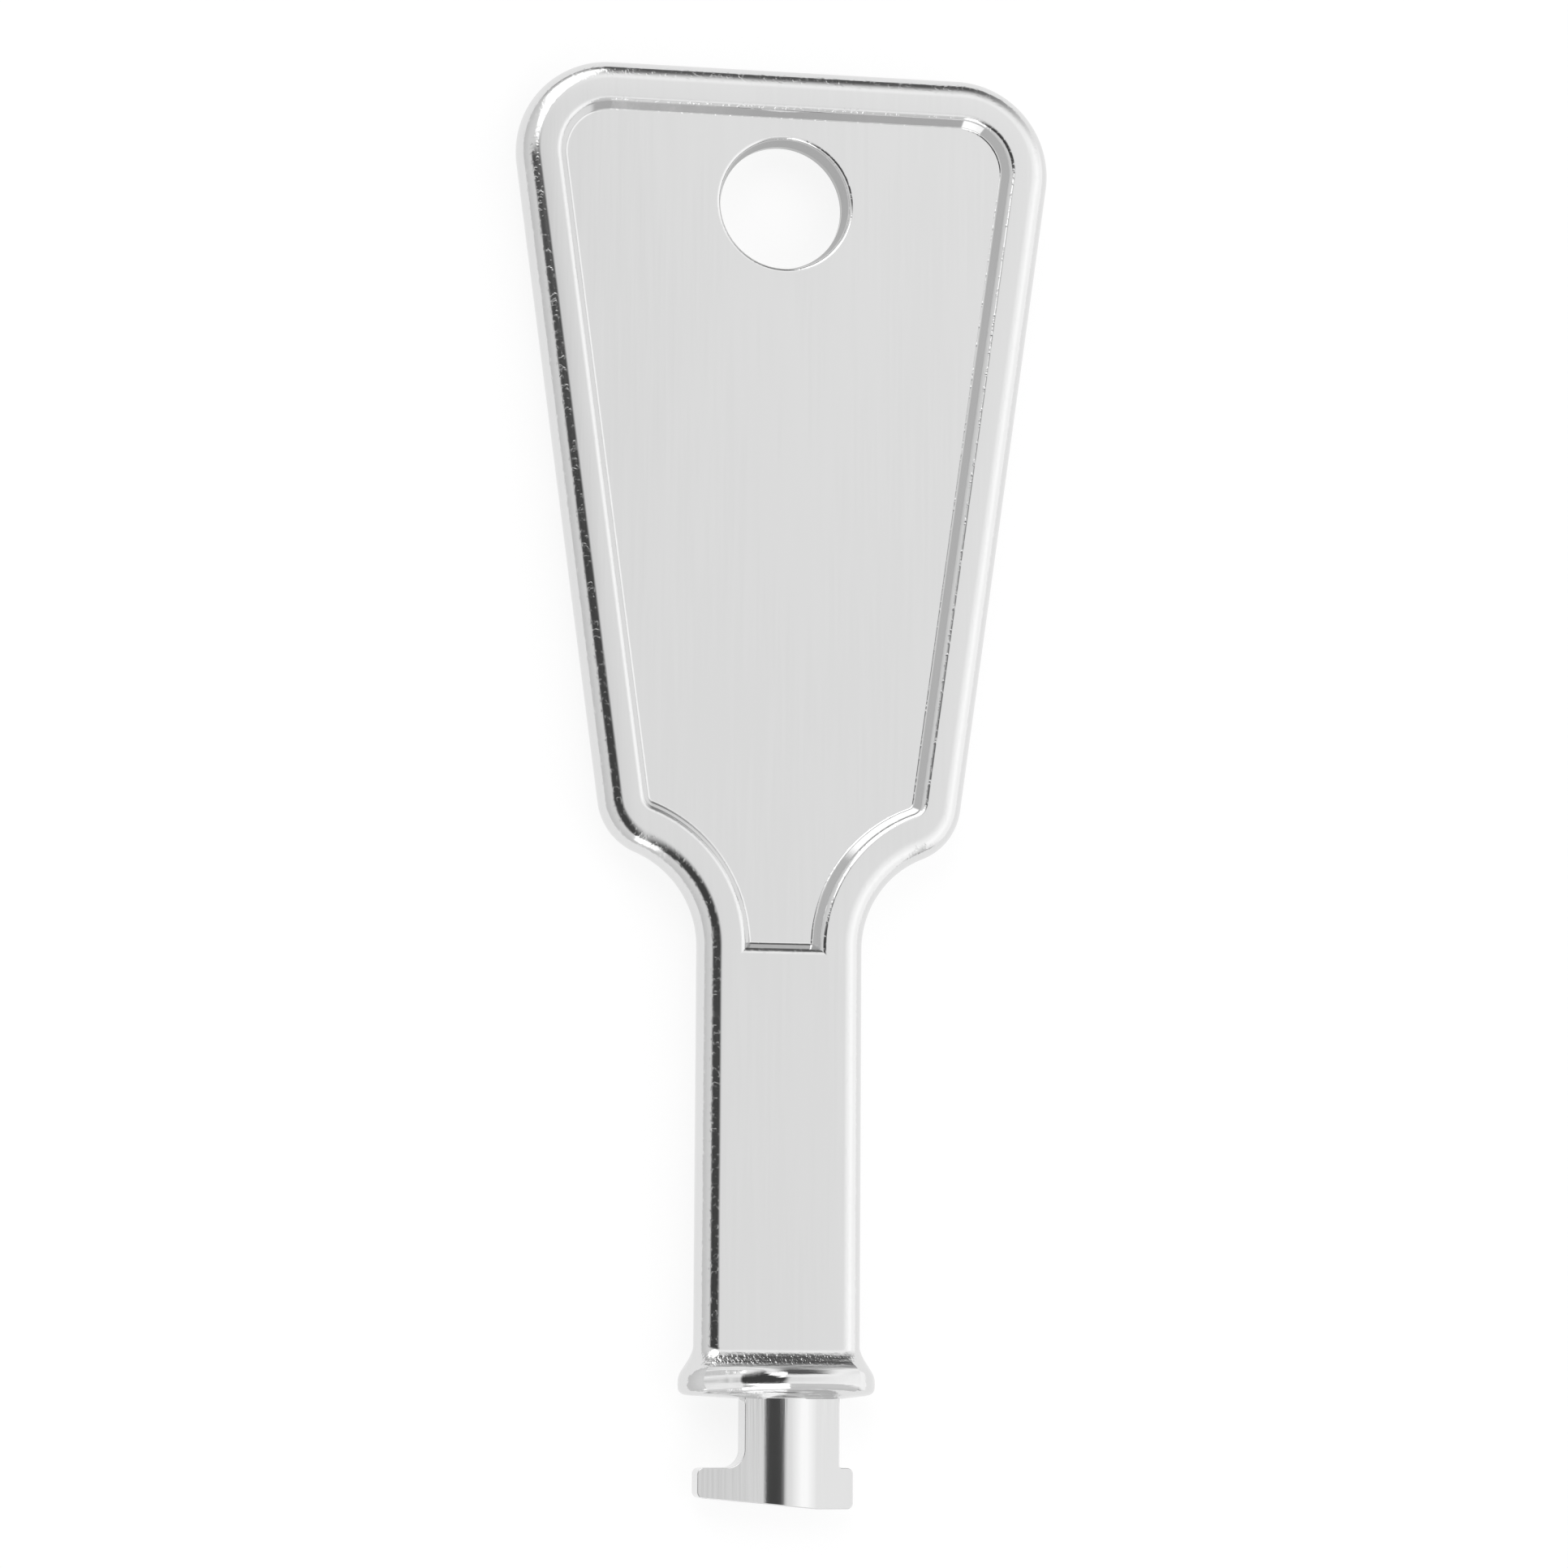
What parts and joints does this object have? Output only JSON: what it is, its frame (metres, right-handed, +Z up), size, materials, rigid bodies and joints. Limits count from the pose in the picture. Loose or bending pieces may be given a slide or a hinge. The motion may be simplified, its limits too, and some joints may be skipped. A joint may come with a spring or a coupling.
{
  "type": "radiator bleed key",
  "caption": "Flat cast key with a recessed trapezoidal bow, a hanging hole, a straight shank, an oval collar and a short two-winged notched bit.",
  "frame": {"origin": "on the table, under the middle of the key's footprint, with the key lying on its back", "axes": "+Y from the bit to the bow, +X to the right seen from the recessed face, +Z up out of the recessed face"},
  "size_m": [0.0266, 0.07, 0.0037],
  "materials": {
    "plated_casting": "bright plating over a finely brushed die casting",
    "plated_bit": "bright plating over drawn steel"
  },
  "bodies": {
    "root": {"handle_casting": "plated_casting", "bit_insert": "plated_bit"}
  },
  "joints": []
}
